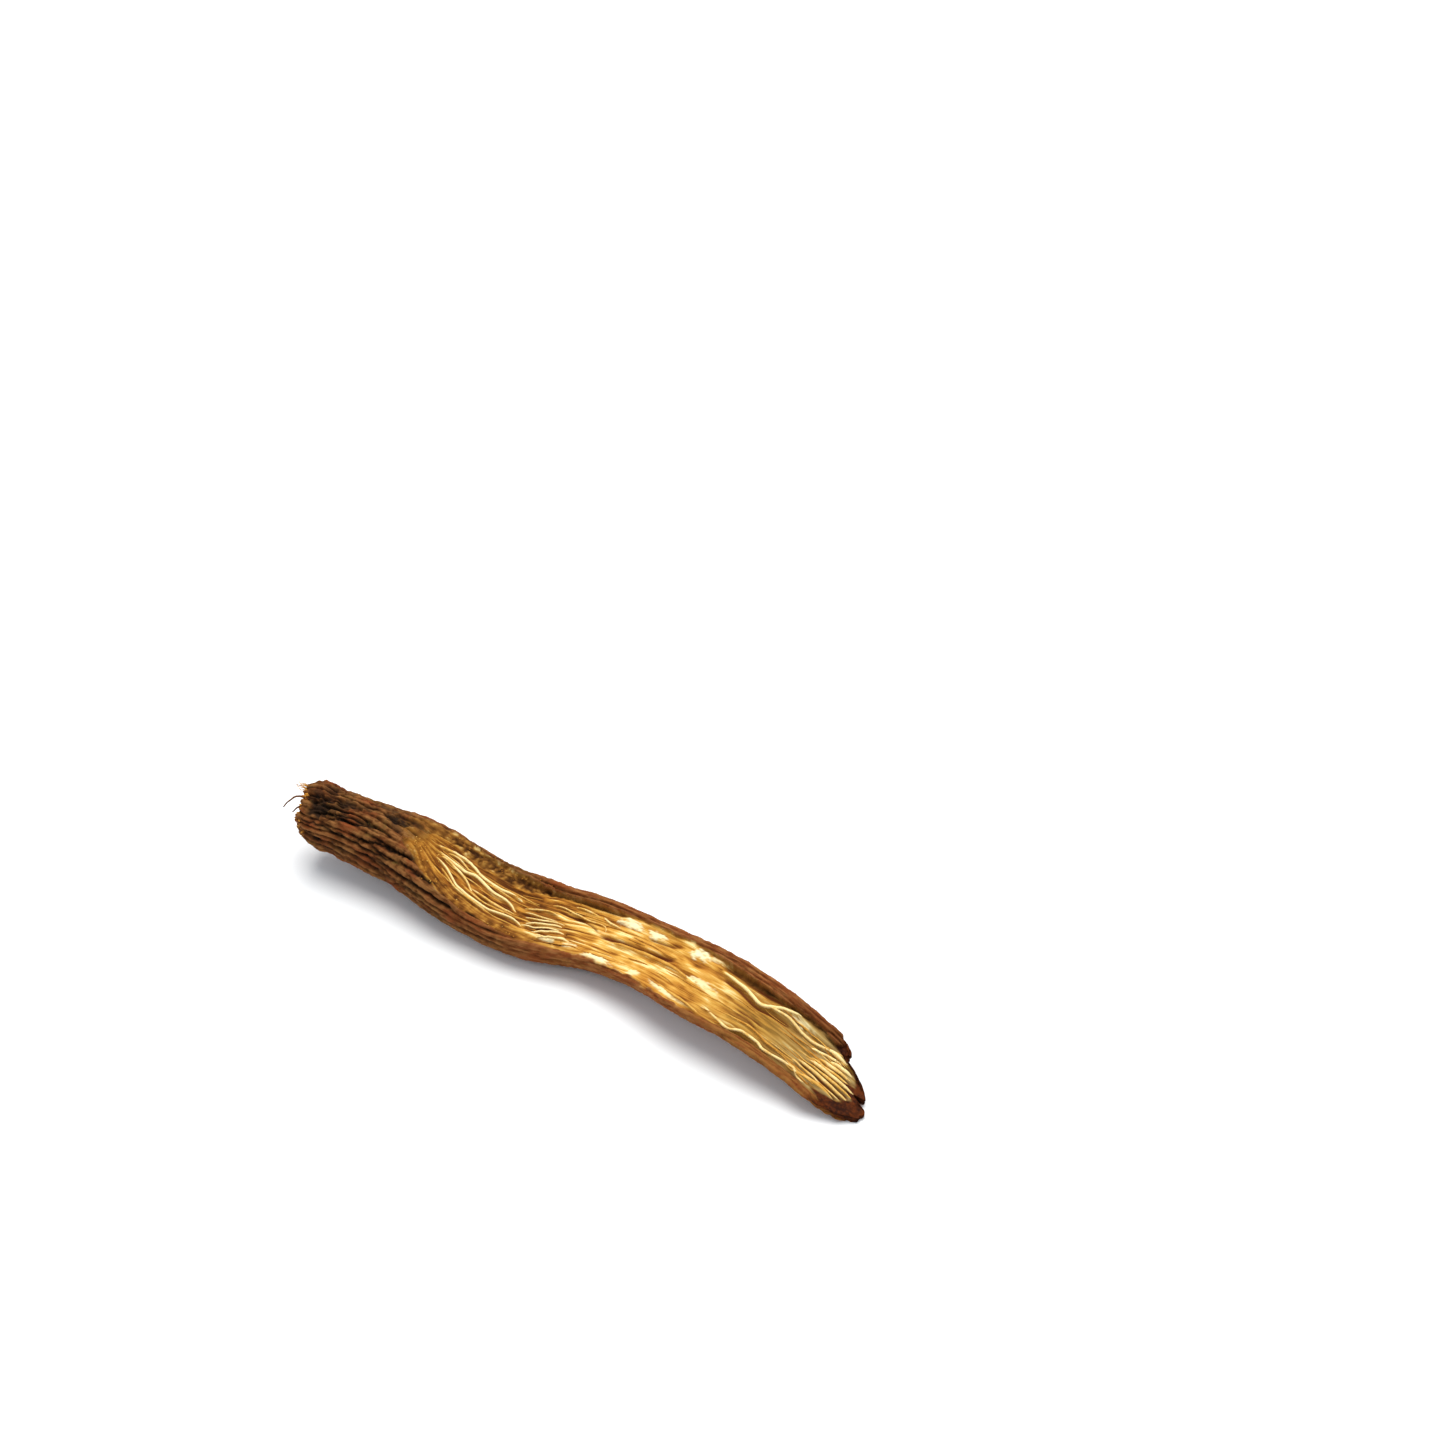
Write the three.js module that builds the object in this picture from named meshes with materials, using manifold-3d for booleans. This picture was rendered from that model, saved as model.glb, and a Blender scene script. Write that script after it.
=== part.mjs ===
// A dried lengthwise slice of red sage root, lying on its back with the cut face up.
// Millimetres, +Z up. +X runs from the round crown end to the thin ragged tip. The origin is on the
// surface that the slice lies on, under the middle of its box.
import * as THREE from 'three';
import { mergeVertices } from 'three/addons/utils/BufferGeometryUtils.js';
import Module from 'manifold-3d';

const sliceLength = 76;
const facesAround = 40;
const facesAlong = 60;

// Stations at even steps along the slice. y and z place the line midway between the two rims of the
// cut. half is the half width there, belly the depth of bark below the line, crown the height of the
// uncut root above it, cut the height of the knife's path, dish how far the dried face has sunk in
// the middle, and roll the turn of the section in degrees that lifts the +Y rim.
const stations = [
  { y: -2.8, z: 5.7, half: 3.5, belly: 3.3, crown: 3.2, cut: 5.9, dish: 0.0, roll: 0 },
  { y: -2.0, z: 5.4, half: 3.5, belly: 3.5, crown: 3.4, cut: 4.5, dish: 0.0, roll: 0 },
  { y: -0.8, z: 4.7, half: 4.5, belly: 3.7, crown: 3.3, cut: 3.0, dish: 0.2, roll: 2 },
  { y: -1.1, z: 3.9, half: 4.8, belly: 3.8, crown: 2.9, cut: 1.8, dish: 0.6, roll: 4 },
  { y: -0.4, z: 3.3, half: 5.0, belly: 3.6, crown: 2.4, cut: 1.0, dish: 0.8, roll: 5 },
  { y: 1.4, z: 3.5, half: 4.5, belly: 3.4, crown: 1.8, cut: 0.5, dish: 0.7, roll: 5 },
  { y: 1.2, z: 4.4, half: 4.2, belly: 3.2, crown: 1.4, cut: 0.3, dish: 0.6, roll: 5 },
  { y: 0.4, z: 5.0, half: 4.7, belly: 2.9, crown: 1.2, cut: 0.2, dish: 0.6, roll: 5 },
  { y: -0.2, z: 4.8, half: 4.4, belly: 2.6, crown: 1.0, cut: 0.1, dish: 0.7, roll: 5 },
  { y: -0.8, z: 3.2, half: 4.1, belly: 2.2, crown: 0.9, cut: 0.0, dish: 0.8, roll: 5 },
  { y: -2.1, z: 1.3, half: 3.6, belly: 1.5, crown: 0.8, cut: 0.0, dish: 0.6, roll: 5 },
];

const bellyPower = 0.9;        // a little fuller than an ellipse
const cutEdgeRound = 0.25;     // how softly the cut face meets the bark
const crownSlant = 1.0;        // the crown end leans back below and on the -Y side
const tipCrest = -0.22;        // where across the slice the tip reaches furthest, -1 to 1
const tipFarBevel = 4.3;       // how far the tip is worn back towards the +Y rim
const tipNearBevel = 5.2;      // and towards the -Y rim
const tipNotches = [           // splits between the ragged lobes of the tip
  { across: 0.76, width: 0.10, depth: 1.9 },
  { across: 0.13, width: 0.10, depth: 1.7 },
];
const restDepth = 2;           // block below the surface that flattens what the slice rests on

// The stations' values are blended by smooth curves, three values to a curve.
const columns = [['y', 'z', 'half'], ['belly', 'crown', 'cut'], ['dish', 'roll', 'roll']];
const curves = columns.map((names) => new THREE.CatmullRomCurve3(
  stations.map((station) => new THREE.Vector3(...names.map((name) => station[name]))),
  false, 'catmullrom', 0.5));

function stationAt(along) {
  const station = { x: (along - 0.5) * sliceLength };
  curves.forEach((curve, index) => {
    const blended = curve.getPoint(along).toArray();
    columns[index].forEach((name, axis) => { station[name] = blended[axis]; });
  });
  return station;
}

function rimLineAt(along) {
  const { x, y, z } = stationAt(along);
  return new THREE.Vector3(x, y, z);
}

function softMin(a, b, softness) {
  const share = THREE.MathUtils.clamp(0.5 + 0.5 * (b - a) / softness, 0, 1);
  return THREE.MathUtils.lerp(b, a, share) - softness * share * (1 - share);
}

// Height of the section's outline at an angle round it: the uncut root or the dished cut face above,
// the bark below.
function outlineHeight(station, across, rise) {
  if (rise < 0) return -station.belly * Math.abs(rise) ** bellyPower;
  const cutFace = station.cut - station.dish * (1 - Math.abs(across) ** 3);
  return softMin(station.crown * rise, cutFace, cutEdgeRound);
}

// How far a point is drawn in from the two ends, so that neither ends square.
function trimmed(along, across, rise) {
  const pastCrest = across - tipCrest;
  const splits = tipNotches.reduce((depth, notch) => (
    depth + notch.depth * Math.exp(-(((across - notch.across) / notch.width) ** 2))), 0);
  const tipBevel = (pastCrest > 0 ? tipFarBevel : tipNearBevel) * pastCrest ** 2 + splits;
  const crownBevel = crownSlant * (1 - 0.6 * across - 0.4 * rise);
  const tipShare = THREE.MathUtils.smoothstep(along, 0.7, 1);
  const crownShare = 1 - THREE.MathUtils.smoothstep(along, 0, 0.15);
  return along + (crownBevel * crownShare - tipBevel * tipShare) / sliceLength;
}

// A point of the surface, from how far along the slice it is and where round the section; reach is 1
// on the outline and 0 in the middle of an end cap.
function surfacePoint(alongEven, angle, reach) {
  const across = Math.cos(angle) * reach;
  const rise = Math.sin(angle) * reach;
  const along = trimmed(alongEven, across, rise);
  const station = stationAt(along);
  const step = 0.001;
  const forward = rimLineAt(Math.min(along + step, 1)).sub(rimLineAt(Math.max(along - step, 0))).normalize();
  const sideways = new THREE.Vector3(0, 0, 1).cross(forward).normalize();
  sideways.applyAxisAngle(forward, THREE.MathUtils.degToRad(station.roll));
  const upright = forward.clone().cross(sideways);
  const middle = (outlineHeight(station, 0, 1) + outlineHeight(station, 0, -1)) / 2;
  const height = reach > 0.5 ? outlineHeight(station, across, rise) : middle;
  return new THREE.Vector3(station.x, station.y, station.z)
    .addScaledVector(sideways, across * station.half)
    .addScaledVector(upright, height);
}

function sliceGeometry() {
  const tube = new THREE.CylinderGeometry(1, 1, 1, facesAround, facesAlong);
  const position = tube.getAttribute('position');
  const corner = new THREE.Vector3();
  for (let index = 0; index < position.count; index += 1) {
    corner.fromBufferAttribute(position, index);
    const angle = Math.atan2(-corner.z, corner.x);
    const placed = surfacePoint(corner.y + 0.5, angle, Math.hypot(corner.x, corner.z));
    position.setXYZ(index, placed.x, placed.y, placed.z);
  }
  return tube;
}

const wasm = await Module();
wasm.setup();

function toSolid(geometry) {
  geometry.deleteAttribute('normal');
  geometry.deleteAttribute('uv');
  const merged = mergeVertices(geometry);
  return new wasm.Manifold(new wasm.Mesh({
    numProp: 3,
    vertProperties: merged.getAttribute('position').array,
    triVerts: Uint32Array.from(merged.getIndex().array),
  }));
}

function toGeometry(solid) {
  const mesh = solid.getMesh();
  const geometry = new THREE.BufferGeometry();
  geometry.setAttribute('position', new THREE.BufferAttribute(mesh.vertProperties, 3));
  geometry.setIndex(new THREE.BufferAttribute(mesh.triVerts, 1));
  geometry.computeVertexNormals();
  return geometry;
}

// What the slice rests on is flat: the surface trims the belly and the drooping tip.
function restingSlice() {
  const below = new THREE.BoxGeometry(2 * sliceLength, sliceLength, restDepth);
  below.translate(0, 0, -restDepth / 2);
  return toGeometry(toSolid(sliceGeometry()).subtract(toSolid(below)));
}

const driedRoot = new THREE.MeshStandardMaterial({ color: 0x8a5a26, roughness: 0.85, metalness: 0 });

const rootSlice = new THREE.Mesh(restingSlice(), driedRoot);
rootSlice.name = 'root_slice';

const redSageRoot = new THREE.Group();
redSageRoot.add(rootSlice);

export default redSageRoot;
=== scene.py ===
import math
import random

import bmesh
import bpy
from mathutils import Matrix, Vector, noise


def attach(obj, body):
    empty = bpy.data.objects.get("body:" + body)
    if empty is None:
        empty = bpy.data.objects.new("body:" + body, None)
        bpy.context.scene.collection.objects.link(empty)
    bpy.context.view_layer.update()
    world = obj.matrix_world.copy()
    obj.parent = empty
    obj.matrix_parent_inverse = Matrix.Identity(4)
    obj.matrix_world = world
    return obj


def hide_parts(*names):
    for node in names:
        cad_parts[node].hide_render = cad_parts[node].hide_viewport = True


noise.seed_set(7)   # noise vectors start from the clock otherwise
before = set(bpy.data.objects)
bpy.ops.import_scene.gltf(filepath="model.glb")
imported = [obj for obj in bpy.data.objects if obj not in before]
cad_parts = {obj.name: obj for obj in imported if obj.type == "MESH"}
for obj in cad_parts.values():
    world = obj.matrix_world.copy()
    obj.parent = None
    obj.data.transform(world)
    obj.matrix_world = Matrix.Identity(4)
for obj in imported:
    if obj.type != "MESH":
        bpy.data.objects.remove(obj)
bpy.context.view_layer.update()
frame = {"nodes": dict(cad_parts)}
millimetre = 0.001
print("frame loaded:", ", ".join(frame["nodes"]))


def clamp(value, low=0.0, high=1.0):
    return max(low, min(high, value))


def mix(a, b, share):
    return a + (b - a) * share


def smoothStep(low, high, value):
    # 0 at low, 1 at high, which may be the smaller of the two
    share = clamp((value - low) / (high - low))
    return share * share * (3 - 2 * share)


def bump(distance, width):
    return math.exp(-(distance / width) ** 2)


def cloud(x, y, z=0.0):
    return noise.noise(Vector((x, y, z)))


def catmullRom(rows, share):
    # Blends evenly spaced rows of numbers with a smooth curve, share running from 0 to 1.
    place = share * (len(rows) - 1)
    index = min(max(int(place), 0), len(rows) - 2)
    part = place - index
    b, c = rows[index], rows[index + 1]
    a = rows[index - 1] if index > 0 else [2 * x - y for x, y in zip(b, c)]
    d = rows[index + 2] if index + 2 < len(rows) else [2 * y - x for x, y in zip(b, c)]
    return [
        p1 + part * (0.5 * (p2 - p0)
                     + part * (p0 - 2.5 * p1 + 2 * p2 - 0.5 * p3
                               + part * (1.5 * (p1 - p2) + 0.5 * (p3 - p0))))
        for p0, p1, p2, p3 in zip(a, b, c, d)
    ]


def alongRoute(route, distance):
    # Values of a route of (distance, value, ...) points at a distance.
    if distance <= route[0][0]:
        return route[0][1:]
    for near, far in zip(route, route[1:]):
        if distance <= far[0]:
            share = (distance - near[0]) / (far[0] - near[0])
            return [mix(a, b, share) for a, b in zip(near[1:], far[1:])]
    return route[-1][1:]


def finishPiece(name, bm, material):
    mesh = bpy.data.meshes.new(name)
    for face in bm.faces:
        face.smooth = True
    bm.to_mesh(mesh)
    bm.free()
    piece = bpy.data.objects.new(name, mesh)
    bpy.context.scene.collection.objects.link(piece)
    mesh.materials.append(material)
    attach(piece, "root")
    return piece


studio = {
    "azimuth": 36.0,             # degrees round from looking along +Y
    "elevation": 38.0,
    "aim": (-13.5, 42.9, 0.0),   # point of the floor in the middle of the frame, in mm
    "distance": 465.0,           # from the camera to that point, in mm
    "lens": 100.0,
    "keyAside": 164.0,           # degrees round from the camera
    "keyElevation": 73.0,
    "keyDistance": 0.75,         # from the origin, in metres
    "keySize": 0.9,
    "keyPower": 8.1,
    "keyColour": (1, 0.985, 0.955),
    "fillAside": -50.0,
    "fillElevation": 40.0,
    "fillDistance": 0.9,
    "fillSize": 0.6,
    "fillPower": 1.0,
    "fillColour": (0.93, 0.96, 1),
    "skyColour": (0.83, 0.91, 1, 1),
    "skyStrength": 0.52,
    "floorReach": 3.0,
    "floorColour": (0.93, 0.93, 0.93, 1),
}


def backFrom(azimuth, elevation):
    a, e = math.radians(azimuth), math.radians(elevation)
    return Vector((math.sin(a) * math.cos(e), -math.cos(a) * math.cos(e), math.sin(e)))


def facing(back):
    return (-back).to_track_quat("-Z", "Y").to_euler()


def makeCamera():
    camera = bpy.data.cameras.new("camera")
    camera.lens = studio["lens"]
    camera.clip_end = 20
    holder = bpy.data.objects.new("camera", camera)
    back = backFrom(studio["azimuth"], studio["elevation"])
    holder.location = (Vector(studio["aim"]) + back * studio["distance"]) * millimetre
    holder.rotation_euler = facing(back)
    bpy.context.scene.collection.objects.link(holder)
    bpy.context.scene.camera = holder


def makeLight(kind):
    light = bpy.data.lights.new(kind + "Light", "AREA")
    light.shape = "DISK"
    light.size = studio[kind + "Size"]
    light.energy = studio[kind + "Power"]
    light.color = studio[kind + "Colour"]
    lamp = bpy.data.objects.new(kind + "Light", light)
    back = backFrom(studio["azimuth"] + studio[kind + "Aside"], studio[kind + "Elevation"])
    lamp.location = back * studio[kind + "Distance"]
    lamp.rotation_euler = facing(back)
    bpy.context.scene.collection.objects.link(lamp)


def makeSky():
    world = bpy.data.worlds.new("studioWhite")
    world.use_nodes = True
    sky = world.node_tree.nodes["Background"]
    sky.inputs["Color"].default_value = studio["skyColour"]
    sky.inputs["Strength"].default_value = studio["skyStrength"]
    bpy.context.scene.world = world
    bpy.context.scene.view_settings.view_transform = "Standard"


def makeFloor():
    bm = bmesh.new()
    bmesh.ops.create_grid(bm, x_segments=1, y_segments=1, size=studio["floorReach"])
    mesh = bpy.data.meshes.new("floor")
    bm.to_mesh(mesh)
    bm.free()
    floor = bpy.data.objects.new("floor", mesh)
    bpy.context.scene.collection.objects.link(floor)
    paper = bpy.data.materials.new("whitePaper")
    paper.use_nodes = True
    shader = paper.node_tree.nodes["Principled BSDF"]
    shader.inputs["Base Color"].default_value = studio["floorColour"]
    shader.inputs["Roughness"].default_value = 0.9
    mesh.materials.append(paper)


makeCamera()
makeLight("key")
makeLight("fill")
makeSky()
makeFloor()
print("camera, light and floor made")

# The construction's own stations, in millimetres, at even steps from the crown end to the tip.
stationNames = ("y", "z", "half", "belly", "crown", "cut", "dish", "roll")
stations = [
    (-2.8, 5.7, 3.5, 3.3, 3.2, 5.9, 0.0, 0),
    (-2.0, 5.4, 3.5, 3.5, 3.4, 4.5, 0.0, 0),
    (-0.8, 4.7, 4.5, 3.7, 3.3, 3.0, 0.2, 2),
    (-1.1, 3.9, 4.8, 3.8, 2.9, 1.8, 0.6, 4),
    (-0.4, 3.3, 5.0, 3.6, 2.4, 1.0, 0.8, 5),
    (1.4, 3.5, 4.5, 3.4, 1.8, 0.5, 0.7, 5),
    (1.2, 4.4, 4.2, 3.2, 1.4, 0.3, 0.6, 5),
    (0.4, 5.0, 4.7, 2.9, 1.2, 0.2, 0.6, 5),
    (-0.2, 4.8, 4.4, 2.6, 1.0, 0.1, 0.7, 5),
    (-0.8, 3.2, 4.1, 2.2, 0.9, 0.0, 0.8, 5),
    (-2.1, 1.3, 3.6, 1.5, 0.8, 0.0, 0.6, 5),
]

sliceShape = {
    "length": 76.0,
    "facesAround": 190,
    "facesAlong": 488,
    "capRings": 9,
    "bellyPower": 0.9,
    "cutEdgeRound": 0.25,
    "crownSlant": 1.0,
    "crownDome": 0.6,
    "crownRagged": 0.4,
    "crownRound": 2.4,       # how far from the crown end its edge starts to turn in
    "crownPinch": 0.24,
    "tipCrest": -0.22,
    "tipFarBevel": 4.3,
    "tipNearBevel": 5.2,
    "tipNotches": [(0.76, 0.10, 1.9), (0.13, 0.10, 1.7)],   # across, width, depth
    "tipRagged": 0.22,
    "tipRound": 0.7,
    "tipPinch": 0.10,
}

tableSteps = 1520


def makeSections():
    # Sections of the slice at even steps, with the way along it, across it and up from it.
    made = []
    for step in range(tableSteps + 1):
        share = step / tableSteps
        section = dict(zip(stationNames, catmullRom(stations, share)))
        section["place"] = Vector(((share - 0.5) * sliceShape["length"], section["y"], section["z"]))
        made.append(section)
    for step, section in enumerate(made):
        before, after = made[max(step - 1, 0)]["place"], made[min(step + 1, tableSteps)]["place"]
        forward = (after - before).normalized()
        sideways = Vector((0, 0, 1)).cross(forward).normalized()
        upright = forward.cross(sideways)
        turn = math.radians(section["roll"])
        section["sideways"] = sideways * math.cos(turn) + upright * math.sin(turn)
        section["upright"] = upright * math.cos(turn) - sideways * math.sin(turn)
        section["forward"] = forward
    return made


sections = makeSections()


def sectionAt(share):
    place = clamp(share) * tableSteps
    index = min(int(place), tableSteps - 1)
    part = place - index
    low, high = sections[index], sections[index + 1]
    return {name: mix(low[name], high[name], part) for name in low}


def softMin(a, b, softness):
    share = clamp(0.5 + 0.5 * (b - a) / softness)
    return mix(b, a, share) - softness * share * (1 - share)


def outlineHeight(section, across, rise):
    if rise < 0:
        return -section["belly"] * abs(rise) ** sliceShape["bellyPower"]
    cutFace = section["cut"] - section["dish"] * (1 - abs(across) ** 3)
    return softMin(section["crown"] * rise, cutFace, sliceShape["cutEdgeRound"])


def trimmed(share, across, rise):
    # Draws a point in from the two ends, so that both end slanted and ragged.
    notches = sum(depth * bump(across - middle, width) for middle, width, depth in sliceShape["tipNotches"])
    pastCrest = across - sliceShape["tipCrest"]
    bevel = sliceShape["tipFarBevel"] if pastCrest > 0 else sliceShape["tipNearBevel"]
    ragged = sliceShape["tipRagged"] * (1.2 * cloud(across * 6, 3.1) + 0.5 * cloud(across * 17, 8.7))
    tipTrim = bevel * pastCrest ** 2 + notches + ragged
    crownTrim = sliceShape["crownSlant"] * (1 - 0.6 * across - 0.4 * rise)
    rough = cloud(across * 2.2, rise * 2.2, 5) + 0.5 * cloud(across * 6, rise * 6, 9)
    crownTrim += sliceShape["crownDome"] * rise ** 2 + sliceShape["crownRagged"] * rough
    tipShare = smoothStep(0.7, 1, share)
    crownShare = 1 - smoothStep(0, 0.15, share)
    return share + (crownTrim * crownShare - tipTrim * tipShare) / sliceShape["length"]


def slicePoint(section, angle, reach, lift=0.0):
    across, rise = math.cos(angle), math.sin(angle)
    middle = (outlineHeight(section, 0, 1) + outlineHeight(section, 0, -1)) / 2
    height = mix(middle, outlineHeight(section, across, rise), reach) + lift
    return (section["place"] + section["sideways"] * across * reach * section["half"]
            + section["upright"] * height)


# How the fibres spread: distance from the crown end, middle of the flow across, and its spread.
flow = [
    (10, 0.10, 0.22), (16, 0.05, 0.32), (19, 0.0, 0.55), (23, -0.04, 0.78), (28, -0.05, 0.88),
    (34, 0.0, 0.95), (62, 0.0, 0.96), (70, 0.03, 0.92), (76, 0.0, 1.0),
]

# Edges of the cut face, from the far side to the near one: distance, then how far across
# the far rim starts, the far end of the fibres, their near end, and where the near rim starts.
zones = [
    (12, 0.30, 0.10, -0.12, -0.28), (14, 0.52, 0.16, -0.26, -0.38), (15.5, 0.68, 0.26, -0.40, -0.48),
    (17, 0.77, 0.42, -0.47, -0.58), (19, 0.79, 0.46, -0.47, -0.68), (22, 0.80, 0.47, -0.49, -0.80),
    (28, 0.82, 0.50, -0.53, -0.85), (31, 0.78, 0.64, -0.55, -0.88), (34, 0.78, 0.72, -0.62, -0.92),
    (38, 0.80, 0.75, -0.80, -0.95), (42, 0.87, 0.84, -0.93, -0.965), (48, 0.89, 0.87, -0.94, -0.97),
    (53, 0.82, 0.72, -0.90, -0.95), (58, 0.78, 0.69, -0.84, -0.91), (62, 0.80, 0.76, -0.76, -0.84),
    (66, 0.86, 0.80, -0.72, -0.82), (69, 0.76, 0.70, -0.70, -0.84), (76, 0.66, 0.60, -0.72, -0.84),
]

# How dark the strip between fibres and rim is: distance, far side, near side.
stripTone = [
    (12, 0.4, 0.3), (16, 0.7, 0.35), (22, 0.9, 0.5), (29, 0.8, 0.45), (36, 0.75, 0.4), (42, 0.5, 0.3),
    (52, 0.8, 0.4), (58, 1.0, 0.9), (64, 0.9, 1.0), (76, 0.6, 1.0),
]

# Raised fibres: half width, how pale, then the route as (distance, share of the way across).
fibres = [
    (0.15, 1.0, [(17.0, 0.15), (18.2, 0.23), (20.6, 0.37), (22.4, 0.32), (23.8, 0.25),
                 (26.0, 0.24), (27.6, 0.28), (29.4, 0.22)]),
    (0.17, 1.0, [(17.6, 0.04), (19.6, 0.10), (21.8, 0.09), (22.8, 0.16), (24.0, 0.14),
                 (25.4, 0.06), (27.5, 0.04), (28.4, -0.02), (29.4, -0.14)]),
    (0.12, 0.9, [(18.2, -0.01), (19.3, 0.03), (20.7, 0.02), (22.0, -0.03), (23.0, -0.12), (24.0, -0.25),
                 (25.0, -0.29)]),
    (0.14, 1.0, [(18.2, -0.10), (20.0, -0.14), (21.3, -0.24), (22.5, -0.36), (24.0, -0.40), (26.5, -0.41),
                 (28.6, -0.34), (29.4, -0.33), (31.0, -0.42)]),
    (0.11, 0.8, [(23.4, -0.16), (25.5, -0.20), (28.0, -0.19), (29.5, -0.15)]),
    (0.09, 0.8, [(18.6, 0.20), (20.0, 0.26), (20.8, 0.25), (22.0, 0.21), (23.4, 0.27)]),
    (0.09, 0.7, [(22.6, -0.22), (24.0, -0.28), (26.0, -0.31), (28.5, -0.25)]),
    (0.10, 0.8, [(19.4, -0.20), (21.0, -0.30), (22.4, -0.42), (24.6, -0.46), (27.0, -0.47)]),
    (0.10, 0.8, [(32.0, 0.44), (33.6, 0.47), (35.0, 0.40), (36.6, 0.34), (38.4, 0.32), (39.0, 0.10)]),
    (0.11, 0.8, [(34.6, 0.60), (36.0, 0.58), (37.4, 0.54)]),
    (0.12, 0.9, [(37.6, 0.58), (38.8, 0.44), (40.1, 0.41)]),
    (0.11, 1.0, [(30.4, -0.29), (32.0, -0.18), (33.6, -0.08), (34.6, -0.07)]),
    (0.10, 0.8, [(29.4, 0.06), (31.0, 0.18), (32.2, 0.24), (33.6, 0.20)]),
    (0.09, 0.9, [(29.6, -0.02), (31.2, 0.02), (32.6, 0.02), (33.8, 0.05)]),
    (0.12, 1.0, [(31.6, -0.46), (33.0, -0.33), (34.2, -0.27), (35.1, -0.27)]),
    (0.12, 1.0, [(32.4, -0.63), (33.6, -0.54), (35.0, -0.50), (36.2, -0.52)]),
    (0.10, 1.0, [(30.2, -0.38), (31.6, -0.30), (33.2, -0.20), (34.6, -0.18)]),
    (0.09, 0.9, [(30.0, -0.12), (31.8, -0.08), (33.4, -0.01), (34.8, -0.01)]),
    (0.10, 1.0, [(32.0, -0.54), (33.4, -0.44), (34.6, -0.40), (35.6, -0.40)]),
    (0.20, 0.6, [(40.0, -0.12), (42.0, -0.08), (45.0, -0.02), (48.5, 0.0), (50.5, -0.06), (52.0, -0.14)]),
    (0.20, 1.0, [(53.2, 0.59), (55.5, 0.52), (57.8, 0.46), (59.5, 0.37), (60.6, 0.44), (62.0, 0.62),
                 (64.4, 0.79)]),
    (0.15, 0.9, [(58.8, 0.37), (61.0, 0.46), (63.0, 0.51), (65.0, 0.44), (67.2, 0.45), (68.6, 0.58),
                 (70.2, 0.71)]),
    (0.14, 1.0, [(66.8, 0.27), (68.6, 0.40), (70.5, 0.53)]),
    (0.17, 0.9, [(54.8, -0.50), (57.8, -0.68), (59.2, -0.75), (60.6, -0.61), (62.6, -0.58), (63.8, -0.68),
                 (65.4, -0.61), (67.2, -0.50), (68.4, -0.61), (70.2, -0.68)]),
    (0.12, 0.6, [(57.5, -0.42), (60.5, -0.36), (62.0, -0.38), (63.6, -0.44), (66.0, -0.38), (67.4, -0.33)]),
    (0.16, 0.7, [(49.0, -0.62), (51.0, -0.70), (53.5, -0.74), (56.0, -0.80)]),
    (0.19, 1.0, [(69.2, 0.36), (70.8, 0.43), (72.2, 0.48)]),
    (0.18, 1.0, [(68.0, 0.54), (69.4, 0.59), (70.8, 0.62)]),
    (0.18, 0.85, [(68.2, 0.19), (70.2, 0.27), (72.4, 0.35)]),
    (0.14, 0.75, [(67.6, 0.10), (70.0, 0.15), (73.0, 0.23)]),
    (0.19, 0.9, [(67.2, 0.0), (70.0, 0.04), (73.6, 0.11)]),
    (0.15, 0.75, [(68.0, -0.10), (70.5, -0.08), (73.9, -0.03)]),
    (0.19, 0.85, [(66.6, -0.20), (70.0, -0.20), (73.8, -0.16)]),
    (0.12, 0.8, [(66.0, -0.29), (69.0, -0.33), (71.0, -0.36), (73.4, -0.30)]),
    (0.18, 0.75, [(68.2, -0.46), (70.5, -0.44), (72.8, -0.42)]),
]

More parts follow.
